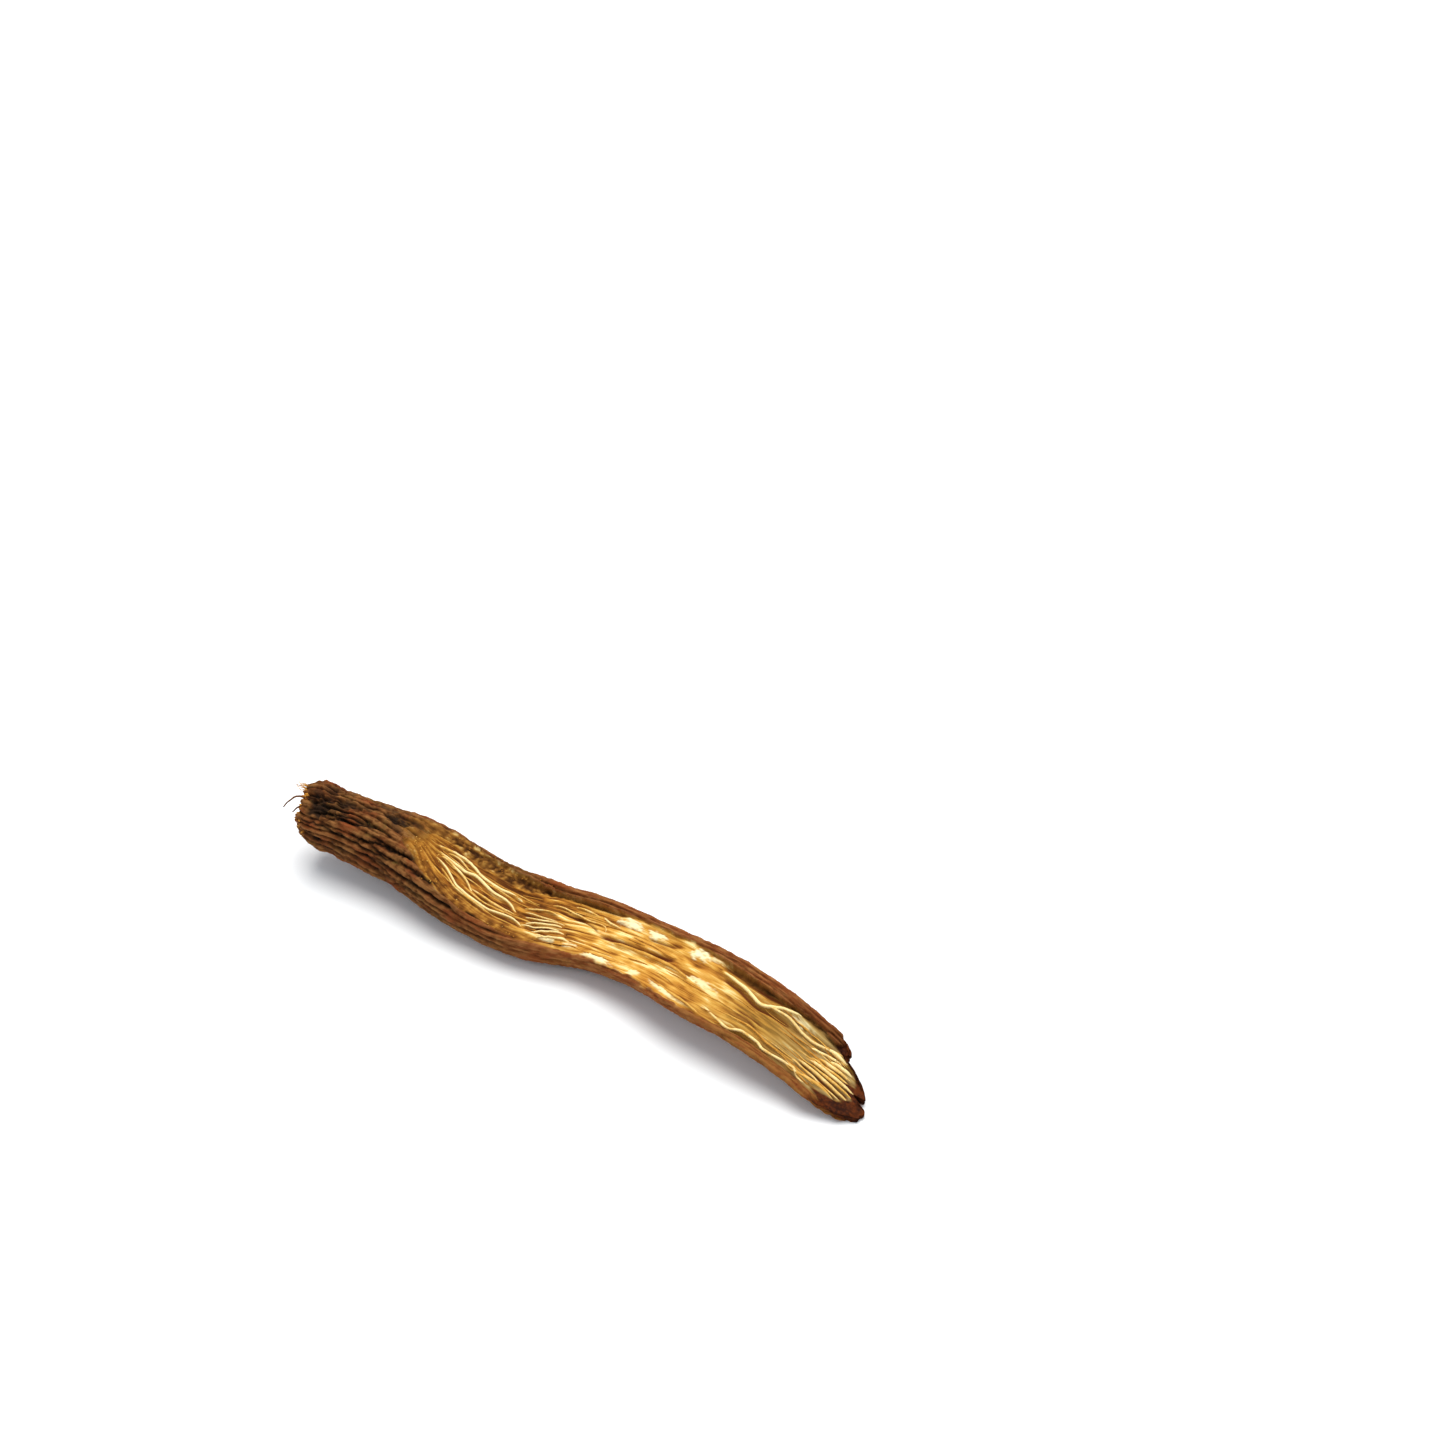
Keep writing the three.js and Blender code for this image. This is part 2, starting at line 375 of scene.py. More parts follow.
# Sunken lines of the cut face: width, depth, how dark, then the route.
grooves = [
    (0.22, 0.32, 0.9, [(18.0, -0.88), (21.5, -0.84), (24.5, -0.82), (28.0, -0.84), (31.0, -0.87)]),
    (0.28, 0.40, 0.7, [(27.6, 0.70), (29.6, 0.73), (31.5, 0.75), (34.0, 0.78), (38.0, 0.77), (40.0, 0.80)]),
    (0.16, 0.24, 0.9, [(31.0, -0.36), (32.5, -0.26), (34.0, -0.17), (34.8, -0.16)]),
    (0.16, 0.20, 0.8, [(32.4, -0.48), (33.8, -0.42), (35.0, -0.38)]),
    (0.30, 0.28, 1.0, [(38.6, -0.02), (42.0, 0.03), (44.5, 0.06), (46.5, 0.14), (48.4, 0.24)]),
    (0.20, 0.16, 0.6, [(48.0, 0.10), (50.5, 0.05), (52.0, -0.05), (53.0, -0.12)]),
    (0.20, 0.22, 0.8, [(33.0, 0.36), (35.0, 0.30), (37.0, 0.22), (38.5, 0.02)]),
    (0.20, 0.22, 0.8, [(43.5, 0.46), (45.5, 0.52), (47.5, 0.60)]),
    (0.36, 0.50, 1.0, [(53.0, 0.76), (56.0, 0.70), (59.5, 0.68), (61.5, 0.76), (64.0, 0.88), (67.0, 0.92)]),
    (0.26, 0.24, 0.9, [(54.0, 0.44), (57.0, 0.36), (59.5, 0.26), (61.5, 0.33), (64.0, 0.36)]),
    (0.18, 0.24, 1.0, [(67.4, 0.36), (69.0, 0.48), (70.6, 0.62)]),
    (0.15, 0.18, 0.8, [(58.0, -0.25), (60.0, -0.22), (61.5, -0.26)]),
    (0.15, 0.18, 0.8, [(58.0, -0.12), (60.5, -0.10), (62.0, -0.13)]),
    (0.30, 0.45, 1.0, [(58.0, -0.92), (60.5, -0.74), (62.6, -0.72), (64.2, -0.82), (66.0, -0.74),
                       (68.0, -0.66), (70.0, -0.78)]),
    (0.16, 0.16, 0.7, [(51.0, -0.80), (52.5, -0.86)]),
    (0.14, 0.20, 1.0, [(69.0, 0.15), (71.0, 0.21), (73.0, 0.30)]),
    (0.14, 0.20, 1.0, [(68.5, 0.05), (71.0, 0.10), (73.6, 0.17)]),
    (0.14, 0.20, 1.0, [(68.0, -0.05), (71.0, -0.02), (74.0, 0.03)]),
    (0.14, 0.20, 1.0, [(68.0, -0.15), (71.0, -0.14), (74.0, -0.10)]),
    (0.14, 0.20, 1.0, [(67.0, -0.26), (70.0, -0.27), (73.8, -0.23)]),
    (0.14, 0.20, 1.0, [(69.0, 0.42), (70.6, 0.50), (72.2, 0.55)]),
    (0.16, 0.20, 0.9, [(67.4, -0.40), (70.0, -0.40), (73.2, -0.37)]),
]

# Deep furrows of the bark: width, depth, how dark the painted shade in them is, then the route as (distance,
# degrees round).
furrows = [
    (0.19, 0.50, 1.0, [(3.4, 140), (4.4, 132), (7.0, 120), (10.0, 118)]),
    (0.17, 0.42, 1.0, [(5.4, 138), (7.5, 128), (9.0, 124), (10.8, 117)]),
    (0.22, 0.58, 1.0, [(9.0, 148), (10.4, 144), (12.2, 138), (14.0, 136), (16.1, 130), (17.4, 121)]),
    (0.18, 0.45, 1.0, [(17.4, 147), (18.6, 143), (20.2, 137), (21.2, 126)]),
    (0.18, 0.45, 0.9, [(2.0, 158), (5.0, 154), (8.0, 156), (11.0, 158), (14.5, 154)]),
    (0.19, 0.45, 0.9, [(9.0, 170), (13.0, 168), (16.0, 166), (20.0, 160), (24.0, 158)]),
    (0.18, 0.42, 0.9, [(2.5, 186), (6.0, 182), (10.0, 186), (15.0, 184), (20.0, 178)]),
    (0.18, 0.42, 0.9, [(12.0, 200), (18.0, 196), (24.0, 190), (30.0, 186)]),
]

# Hollows with painted shade in them: distance, share of the way across, half length, half width, depth, how
# dark that painted shade is.
# A depth below nought raises a lump.
hollows = [
    (4.0, -0.46, 1.2, 1.3, 0.45, 0.9), (6.9, -0.10, 1.3, 0.6, 0.40, 0.8), (12.4, 0.10, 1.3, 0.6, 0.40, 0.9),
    (2.8, 0.25, 2.4, 1.4, -0.28, 0.1), (3.0, -0.18, 1.0, 0.9, 0.30, 0.7), (4.2, 0.18, 1.0, 0.9, 0.25, 0.5),
    (6.0, -0.40, 1.2, 0.5, 0.22, 0.6), (8.9, 0.10, 0.9, 0.5, 0.25, 0.5), (10.6, 0.40, 1.2, 0.5, 0.25, 0.6),
    (14.6, 0.30, 0.9, 0.4, 0.2, 0.5),
    (13.0, -0.16, 0.7, 0.3, 0.18, 0.5), (5.6, 0.52, 1.2, 0.5, 0.25, 0.4), (25.6, -0.80, 0.8, 0.22, 0.1, 0.7),
    (34.1, -0.63, 0.30, 0.24, 0.15, 0.4), (35.2, -0.30, 0.12, 0.55, 0.15, 0.4),
]

# Pale patches of the cut face, near-white cream and in part a painted highlight of glints: distance, share of
# the way across, half length, half width, how pale.
palePatches = [
    (41.0, 0.63, 1.4, 0.50, 0.9), (44.3, 0.65, 1.1, 0.50, 0.9), (50.2, 0.66, 1.2, 0.60, 1.0),
    (52.2, 0.72, 0.8, 0.28, 0.7), (40.8, -0.84, 1.9, 0.60, 1.0), (46.0, -0.78, 0.8, 0.50, 0.7),
    (52.6, 0.0, 1.9, 0.45, 0.6), (36.3, -0.64, 0.9, 0.40, 0.6), (50.8, -0.74, 2.4, 0.36, 0.7),
    (33.6, -0.60, 0.7, 0.30, 0.8), (64.5, 0.62, 1.6, 0.35, 0.5),
]

bark = {
    "meanRadius": 4.2,
    "ridges": 25,            # how many go round the root
    "ridgeWander": 2.4,
    "ridgeHeight": 0.52,
    "wrinkleWidth": 0.55,
    "wrinkleHeight": 0.16,
    "lumpHeight": 0.26,
    "gritHeight": 0.10,
}

cut = {
    "broadHeight": 0.12,
    "strandHeight": 0.14,
    "threadHeight": 0.08,
    "lumpHeight": 0.24,
    "grainSize": 0.5,
    "grainHeight": 0.42,
    "lipHeight": 0.28,
    "moatDepth": 0.20,
}

# How wide the dark resin band of the tip is: share of the way across, width.
resinWidth = [
    (-1.0, 1.2), (-0.84, 2.0), (-0.62, 4.9), (-0.46, 3.2), (-0.3, 2.4), (0.1, 2.1), (0.5, 1.5), (1.0, 1.2),
]


def smoothed(route):
    # The same route with a smooth curve through its points.
    pieces = (len(route) - 1) * 8
    return [catmullRom(route, step / pieces) for step in range(pieces + 1)]


fibreRoutes = [(width, 1.0, tone, smoothed(route)) for width, tone, route in fibres]
grooveRoutes = [(width, depth, tone, smoothed(route)) for width, depth, tone, route in grooves]
furrowRoutes = [(width, depth, tone, smoothed(route)) for width, depth, tone, route in furrows]


def linesNear(lines, distance):
    # The lines that pass a distance from the crown end: place, width, size, tone.
    near = []
    for width, size, tone, route in lines:
        start, end = route[0][0], route[-1][0]
        strength = smoothStep(start - 0.3, start + 0.9, distance) * smoothStep(end + 0.3, end - 0.9, distance)
        if strength > 0:
            near.append((alongRoute(route, distance)[0], width, size * strength, tone * strength))
    return near


lineCache = {}


def linesAt(distance):
    # The fibres and grooves of the cut face, and the furrows of the bark, to a tenth of a millimetre.
    key = round(distance * 10)
    if key not in lineCache:
        place = key / 10
        cutLines = linesNear(fibreRoutes, place), linesNear(grooveRoutes, place)
        lineCache[key] = cutLines, linesNear(furrowRoutes, place)
    return lineCache[key]


def patchMark(distance, aside, halfLength, halfWidth, ragged):
    # An uneven oval, 1 inside and 0 outside, from the distances to its middle.
    return smoothStep(1.5, 0.3, (distance / halfLength) ** 2 + (aside / halfWidth) ** 2 + ragged)


def fibreFlow(distance, across):
    middle, spread = alongRoute(flow, distance)
    return (across - middle) / spread


def zonesAt(distance, across):
    # Shares of rim and of the strip beside it at a place on top, and how dark that strip is.
    farRim, farEnd, nearEnd, nearRim = alongRoute(zones, distance)
    farTone, nearTone = alongRoute(stripTone, distance)
    place = across + 0.035 * cloud(distance / 1.3, across * 4, 1)
    place += 0.02 * cloud(distance * 1.6, across * 9, 2)
    rim = smoothStep(farRim - 0.02, farRim + 0.03, place) + smoothStep(nearRim + 0.02, nearRim - 0.03, place)
    farStrip = smoothStep(farEnd - 0.04, farEnd + 0.04, place)
    nearStrip = smoothStep(nearEnd + 0.06, nearEnd - 0.06, place)
    strip = farStrip * farTone + nearStrip * nearTone
    within = (place - farEnd) / (farRim - farEnd)
    shade = 0.25 * bump(within - 0.05, 0.30) - 0.20 * bump(within - 0.5, 0.28)
    shade += 0.20 * bump(within - 0.95, 0.15)
    return clamp(rim), clamp(strip), farStrip, shade * farStrip


def cutRelief(distance, across, half, near):
    # Height of the relief on the cut face, with the masks that colour it.
    raised, sunken = near
    rim, strip, farStrip, shade = zonesAt(distance, across)
    flowing = fibreFlow(distance, across)
    wavy = smoothStep(15, 20, distance) * smoothStep(42, 32, distance)
    flowing += (0.03 + 0.05 * wavy) * cloud(distance / 2.3, flowing * 2.5, 1.7)
    sideways = across * half

    broad = cloud(distance / 8, flowing * 6, 4.2)
    strand = cloud(distance / 5, flowing * 13, 9.1)
    thread = cloud(distance / 2.6, flowing * 26, 3.3)
    even = smoothStep(34, 40, distance) * smoothStep(62, 54, distance)
    fanned = smoothStep(15, 19, distance) * smoothStep(37, 31, distance)
    keep = 1 - 0.7 * even
    height = cut["broadHeight"] * broad
    height += (cut["strandHeight"] * strand + cut["threadHeight"] * thread) * keep
    crest = 0.42 + 0.50 * broad * (1 - 0.6 * even) + (0.80 * strand + 0.50 * thread) * keep + 0.18 * even
    blotch = cloud(distance / 2.6, sideways / 0.9, 7.7) + 0.6 * cloud(distance / 1.1, sideways / 0.45, 3.7)
    crest += 0.40 * even * blotch - 0.20 * fanned - 0.18 * smoothStep(63, 68, distance)
    lump = cloud(distance / 5, across * 1.6, 2.2) + 0.35 * blotch
    height += cut["lumpHeight"] * lump * smoothStep(30, 37, distance)

    groove = 0.0
    for place, width, depth, tone in sunken:
        mark = bump(sideways - place * half, width)
        height -= depth * mark
        groove = max(groove, tone * mark)
    ridge = moat = 0.0
    for place, width, strength, tone in raised:
        aside = sideways - place * half
        ridge = max(ridge, strength * bump(aside, width * 1.3))
        moat = max(moat, strength * bump(aside, width * 3.0))
        crest = max(crest, tone * bump(aside, width * 1.3))
    moat *= 1 - ridge
    height += 0.10 * ridge - cut["moatDepth"] * moat
    # painted shade: the trench beside each raised fibre is darkened with the groove brown, more where the
    # fibres fan out
    groove = max(groove, (0.6 + 0.4 * fanned) * moat)

    # pale cream patches, in part painted highlight
    paleGlint = 0.0
    ragged = 1.2 * cloud(distance * 1.1, sideways * 2.6, 5) + 1.1 * cloud(distance * 2.2, sideways * 6, 8)
    for place, middle, halfLength, halfWidth, tone in palePatches:
        if abs(distance - place) < 2 * halfLength:
            mark = patchMark(distance - place, sideways - middle * half, halfLength, halfWidth, ragged)
            paleGlint = max(paleGlint, tone * mark)
            height += 0.16 * tone * mark
            groove *= 1 - mark

    # Coarse grains in the strips beside the fibres, and where the cut begins.
    coarse = max(strip * (1 - 0.7 * smoothStep(32, 38, distance)), 0.7 * smoothStep(19, 15, distance))
    if coarse > 0.02:
        place = Vector((distance * 0.8, sideways, 0.4)) / cut["grainSize"]
        place += noise.noise_vector(place * 0.7) * 0.8
        cell = noise.voronoi(place)[0][0]
        height += coarse * cut["grainHeight"] * (0.5 - cell) * (0.5 + 0.5 * farStrip)
        grainy = 0.95 - 1.15 * cell + 0.6 * cloud(distance, sideways * 1.2, 6)
        crest = mix(crest, grainy + shade, coarse)
    height -= 0.22 * farStrip * strip * (1 - rim)
    lip = rim * smoothStep(22, 34, distance) * (1 + 1.1 * cloud(distance / 1.3, across, 6))
    height += cut["lipHeight"] * lip
    return height, clamp(crest), groove * (1 - 0.8 * rim), strip, rim, paleGlint


def barkRelief(distance, angle, near):
    # Wandering ridges that split and join, with lumps, wrinkles and grit on them.
    turned = Vector((math.cos(angle), math.sin(angle))) * bark["meanRadius"]
    wander = cloud(distance / 8, turned.x / 3, turned.y / 3)
    wander += 0.30 * cloud(distance / 2.2, turned.x, turned.y)
    bent = 0.2 * cloud(distance / 2, turned.x, turned.y)
    x, y = turned.x + bent, turned.y + bent
    wide = abs(math.sin(angle * bark["ridges"] / 2 + bark["ridgeWander"] * wander))
    narrow = abs(cloud(distance / 6 + 9, x / bark["wrinkleWidth"], y / bark["wrinkleWidth"]))
    strength = 0.85 + 0.7 * cloud(distance / 4, turned.x / 1.6, turned.y / 1.6 + 7)
    ridge = mix(0.75, min(wide / 0.75, 1) ** 0.75, clamp(strength))
    wrinkle = min(narrow / 0.25, 1) ** 0.8
    grit = noise.fractal(Vector((distance * 1.5, x * 1.8, y * 1.8)), 0.9, 2.0, 3)
    crownward = smoothStep(15, 8, distance)
    lump = cloud(distance / 2.4, turned.x / 1.7 + 4, turned.y / 1.7)
    height = bark["ridgeHeight"] * (ridge - 0.7) + bark["wrinkleHeight"] * (wrinkle - 0.6)
    height += bark["gritHeight"] * grit + bark["lumpHeight"] * lump * (0.35 + 0.65 * crownward)
    # the crest follows the relief height, so the bark ramp paints shade on low parts and light on high parts
    crest = 0.84 * ridge + 0.26 * wrinkle + 0.32 * grit + 0.34 * lump * crownward - 0.10 - 0.08 * crownward
    dark = 0.0
    # each furrow is sunk and also darkened in colour: painted shade
    for degrees, width, depth, tone in near:
        aside = math.radians((math.degrees(angle) % 360) - degrees) * bark["meanRadius"]
        aside += 0.25 * cloud(distance / 1.2, degrees)
        mark = bump(aside, width * (1 + 0.5 * cloud(distance / 0.9, 3.3, degrees)))
        height -= depth * mark
        dark = max(dark, tone * mark)
    return height, clamp(crest), dark


def hollowsAt(distance, sideways, half, crest):
    # How far the hollows of the bark sink at a place, and how dark the shade painted into them is.
    ragged = 1.1 * cloud(distance * 0.9, sideways * 1.3, 3) + 1.3 * cloud(distance * 1.6, sideways * 3.2, 3)
    ragged -= 0.5 * (crest - 0.4)
    sunk = dark = 0.0
    for place, middle, halfLength, halfWidth, depth, tone in hollows:
        if abs(distance - place) < 2 * halfLength:
            mark = patchMark(distance - place, sideways - middle * half, halfLength, halfWidth, ragged)
            sunk += depth * mark
            dark = max(dark, tone * mark)
    return sunk, dark


def sideRelief(distance, angle, half, fromTip):
    # Height of the relief round the slice, with the masks that colour it.
    across, rise = math.cos(angle), math.sin(angle)
    cutLines, barkLines = linesAt(distance)
    barkHeight, barkCrest, soot = barkRelief(distance, angle, barkLines)
    barkHeight *= 1 - 0.35 * smoothStep(26, 42, distance)
    cutHeight = crest = groove = strip = paleGlint = 0.0
    barkShare = 1.0
    if rise > 0 and distance > 9:
        cutHeight, crest, groove, strip, rim, paleGlint = cutRelief(distance, across, half, cutLines)
        uneven = 2.2 * cloud(distance / 1.6, across * 3, 2) + 1.2 * cloud(distance * 1.4, across * 8, 4)
        begun = smoothStep(12.2, 17.8, distance + uneven)
        barkShare = 1 - begun * (1 - rim) * smoothStep(0.02, 0.12, rise)
        barkHeight += cut["lipHeight"] * rim * smoothStep(24, 34, distance)
    height = mix(cutHeight, barkHeight, barkShare)
    if rise > 0:
        sunk, dark = hollowsAt(distance, across * half, half, barkCrest)
        height -= sunk
        soot = max(soot, dark)

    wide = alongRoute(resinWidth, across)[0] + 0.5 * cloud(across * 7, distance, 4)
    resin = smoothStep(wide + 0.35, wide - 0.35, fromTip) * smoothStep(-0.25, 0.05, rise)
    lumpy = 0.16 * noise.fractal(Vector((distance / 1.2, across * 3, rise * 3)), 1.0, 2.0, 3)
    height = mix(height, lumpy - 0.10, resin)
    masks = {"bark": barkShare, "crest": crest, "barkCrest": barkCrest, "groove": groove, "strip": strip,
             "resin": resin, "soot": clamp(soot), "paleGlint": paleGlint}
    return height, masks


def endRelief(share, across, rise, reach, masks):
    # Height of the relief on the face of an end, and its changes to the masks.
    rough = noise.fractal(Vector((across * reach * 4, rise * reach * 4, 2)), 0.8, 2.0, 4)
    masks.update(crest=clamp(0.45 + 0.7 * rough), groove=0.0, soot=0.0)
    if share > 0.5:
        masks.update(resin=1.0)
        return 0.08 * rough * smoothStep(1, 0.8, reach)
    masks.update(bark=smoothStep(0.78, 0.95, reach), strip=0.7, resin=0.0)
    return 0.45 * rough - 0.9 * smoothStep(1.0, 0.5, reach) - 0.1


def makeTube():
    # A closed tube one unit long, with rings of faces along it and over both ends.
    bm = bmesh.new()
    bmesh.ops.create_cone(bm, cap_ends=True, segments=sliceShape["facesAround"], radius1=1, radius2=1,
                          depth=1)
    lengthwise = [edge for edge in bm.edges if abs(edge.verts[0].co.z - edge.verts[1].co.z) > 0.5]
    bmesh.ops.subdivide_edges(bm, edges=lengthwise, cuts=sliceShape["facesAlong"] - 1)
    ends = [face for face in bm.faces if len(face.verts) > 4]
    step = 0.96 / sliceShape["capRings"]
    for end in ends:
        for ring in range(sliceShape["capRings"]):
            bmesh.ops.inset_region(bm, faces=[end], thickness=step, use_even_offset=True)
    bmesh.ops.poke(bm, faces=ends)
    return bm


def placeOnSlice(vertex):
    # Moves a vertex of the tube onto the smooth slice, and returns where on it that is.
    share = clamp(vertex.co.z + 0.5)
    turn = math.atan2(vertex.co.y, vertex.co.x)
    angle = turn + 0.12 * math.sin(2 * turn) + 0.25 * math.cos(turn)   # most faces on the cut side
    reach = min(math.hypot(vertex.co.x, vertex.co.y), 1)
    across, rise = math.cos(angle), math.sin(angle)
    actual = trimmed(share, across * reach, rise * reach)
    if reach > 0.999:
        fromCrown = (actual - trimmed(0, across, rise)) * sliceShape["length"]
        fromTip = (trimmed(1, across, rise) - actual) * sliceShape["length"]
    else:
        fromCrown, fromTip = (0, 99) if share < 0.5 else (99, 0)
    pinch = 1 - sliceShape["crownPinch"] * clamp(1 - fromCrown / sliceShape["crownRound"]) ** 2
    pinch -= sliceShape["tipPinch"] * clamp(1 - fromTip / sliceShape["tipRound"]) ** 2
    section = sectionAt(actual)
    vertex.co = slicePoint(section, angle, reach * pinch)
    return share, angle, reach, actual * sliceShape["length"], section, fromTip


def makeBody(material):
    bm = makeTube()
    names = ("bark", "crest", "groove", "strip", "resin", "soot", "paleGlint")
    layers = {name: bm.verts.layers.float.new(name) for name in names}
    straight = bm.verts.layers.float_vector.new("straight")   # distance, across and up, all in mm
    spots = [placeOnSlice(vertex) for vertex in bm.verts]
    bm.normal_update()

    for vertex, (share, angle, reach, distance, section, fromTip) in zip(bm.verts, spots):
        across, rise = math.cos(angle), math.sin(angle)
        outward = vertex.normal
        height, masks = sideRelief(distance, angle, section["half"], fromTip)
        if reach < 0.999:
            outward = section["forward"] * (1 if share > 0.5 else -1)
            height = endRelief(share, across, rise, reach, masks)
        vertex.co += outward * height

        masks["crest"] = mix(masks["crest"], masks["barkCrest"], masks["bark"])
        masks["groove"] *= 1 - masks["bark"]
        masks["paleGlint"] *= 1 - masks["bark"]
        for name, layer in layers.items():
            vertex[layer] = masks[name]
        flowing = mix(fibreFlow(distance, across), across, masks["bark"])
        vertex[straight] = (distance, flowing * section["half"] * reach, rise * section["belly"] * reach)

    for vertex in bm.verts:
        vertex.co.z = max(vertex.co.z, 0)
        vertex.co *= millimetre
    body = finishPiece("root_slice_fine", bm, material)
    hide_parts("root_slice")
    return body


def surfacePoint(distance, across, lift):
    # A place on the cut face, at a height above its relief.
    section = sectionAt(distance / sliceShape["length"])
    height = cutRelief(distance, across, section["half"], linesAt(distance)[0])[0]
    return slicePoint(section, math.acos(clamp(across, -1, 1)), 1, height + lift)


def growStrand(bm, route, sides):
    # Extrudes a ring from point to point of a route of (point, radius) and closes both ends.
    ring = bmesh.ops.create_circle(bm, cap_ends=True, segments=sides, radius=route[0][1])["verts"]
    centre, heading, radius = Vector(), Vector((0, 0, 1)), route[0][1]
    for index, (point, nextRadius) in enumerate(route):
        ahead = (route[min(index + 1, len(route) - 1)][0] - route[max(index - 1, 0)][0]).normalized()
        if index:
            near = set(ring)
            edges = {edge for vertex in ring for edge in vertex.link_edges if edge.other_vert(vertex) in near}
            grown = bmesh.ops.extrude_edge_only(bm, edges=list(edges))["geom"]
            ring = [part for part in grown if isinstance(part, bmesh.types.BMVert)]
        turn = heading.rotation_difference(ahead).to_matrix()
        bmesh.ops.rotate(bm, verts=ring, cent=centre, matrix=turn)
        for vertex in ring:
            vertex.co = point + (vertex.co - centre) * nextRadius / radius
        centre, heading, radius = point, ahead, nextRadius
    bmesh.ops.contextual_create(bm, geom=ring)


def finishStrands(name, bm, material):
    bmesh.ops.recalc_face_normals(bm, faces=bm.faces)
    for vertex in bm.verts:
        vertex.co.z = max(vertex.co.z, 0)
        vertex.co *= millimetre
    return finishPiece(name, bm, material)


liftedFibres = {
    "sides": 7,
    "step": 0.3,
    "rise": 0.10,          # share of its radius that a fibre stands above the face
    "threads": 80,
    "threadRadius": 0.055,
    "threadRise": 0.6,
    # where threads lie: the highest draw that picks it, distance from and to, across from and to,
    # and how pale at most
    "spans": [(0.3, 17.5, 31, -0.55, 0.55, 0.75), (0.75, 60, 73, -0.7, 0.62, 0.8),
              (1.0, 31, 60, -0.8, 0.6, 0.8)],
    "seed": 11,
}


def addFibre(bm, tones, route, radius, tone, rise, kind):
    # Lays a tapering strand along a route over the cut face.
    low, high = route[0][0], route[-1][0]
    steps = max(int((high - low) / liftedFibres["step"]), 4)
    points = []
    for step in range(steps + 1):
        share = step / steps
        distance = mix(low, high, share)
        across = alongRoute(route, distance)[0]
        taper = math.sin(math.pi * mix(0.04, 0.96, share)) ** 0.45
        swell = 1 + 0.25 * cloud(distance / 0.9, kind, 2)
        sink = 1.6 * (1 - taper)
        lift = radius * (rise - sink + 0.5 * cloud(distance / 1.4, kind, 6))
        points.append((surfacePoint(distance, across, lift), radius * taper * swell))
    count = len(bm.verts)
    growStrand(bm, points, liftedFibres["sides"])
    bm.verts.ensure_lookup_table()
    for vertex in bm.verts[count:]:
        fromStart = vertex.co.x + sliceShape["length"] / 2
        begun = mix(0.5, 1, smoothStep(17, 20.5, fromStart))
        vertex[tones] = clamp(begun * tone + 0.2 * cloud(fromStart / 1.1, kind, 3))


def fibreEnd(across):
    # Where the fibres end short of the tip's resin band.
    return trimmed(1, across, 0.2) * sliceShape["length"] - alongRoute(resinWidth, across)[0] - 0.4


def makeLiftedFibres(material):
    bm = bmesh.new()
    tones = bm.verts.layers.float.new("crest")
    for kind, (radius, tone, route) in enumerate(fibres):
        addFibre(bm, tones, smoothed(route), radius, tone, liftedFibres["rise"], kind * 3.1)
    dice = random.Random(liftedFibres["seed"])
    for kind in range(liftedFibres["threads"]):
        pick = dice.random()
        low, high, near, far, pale = next(span[1:] for span in liftedFibres["spans"] if pick < span[0])
        start = dice.uniform(low, high - 2.5)
        lane = dice.uniform(near, far)
        end = min(start + dice.uniform(2.0, 7.0), high, fibreEnd(lane))
        drift = dice.uniform(-0.03, 0.03)
        route = []
        for step in range(9):
            distance = mix(start, end, step / 8)
            middle, spread = alongRoute(flow, distance)
            wave = 0.05 * cloud(distance / 2.4, kind * 1.7)
            route.append((distance, middle + spread * (lane + wave) + drift * step / 8))
        radius = liftedFibres["threadRadius"] * dice.uniform(0.8, 1.5)
        tone = dice.uniform(0.35, pale)
        addFibre(bm, tones, route, radius, tone, liftedFibres["threadRise"], kind * 2.3 + 50)
    return finishStrands("lifted_fibres", bm, material)


rootHairs = {
    "radius": 0.075,
    # degrees round the crown end, how far it runs in x, y and z, radius and curl
    "long": [(112, (-2.0, -1.5, -1.2), 0.15, 1.8), (132, (-1.0, -0.5, -1.0), 0.13, 0.8),
             (146, (-0.7, -0.3, -0.9), 0.10, 0.6)],
    "tuft": 15,
    "tuftDegrees": 84,
    "tuftReach": (-1.4, -0.3, 0.2),
    "seed": 5,
}


def crownPoint(degrees, distance, outward):
    across, rise = math.cos(math.radians(degrees)), math.sin(math.radians(degrees))
    share = trimmed(distance / sliceShape["length"], across, rise)
    section = sectionAt(share)
    pinch = 1 - sliceShape["crownPinch"] * clamp(1 - distance / sliceShape["crownRound"]) ** 2
    middle = slicePoint(section, math.radians(degrees), 0)
    point = slicePoint(section, math.radians(degrees), pinch)
    return point + (point - middle).normalized() * outward


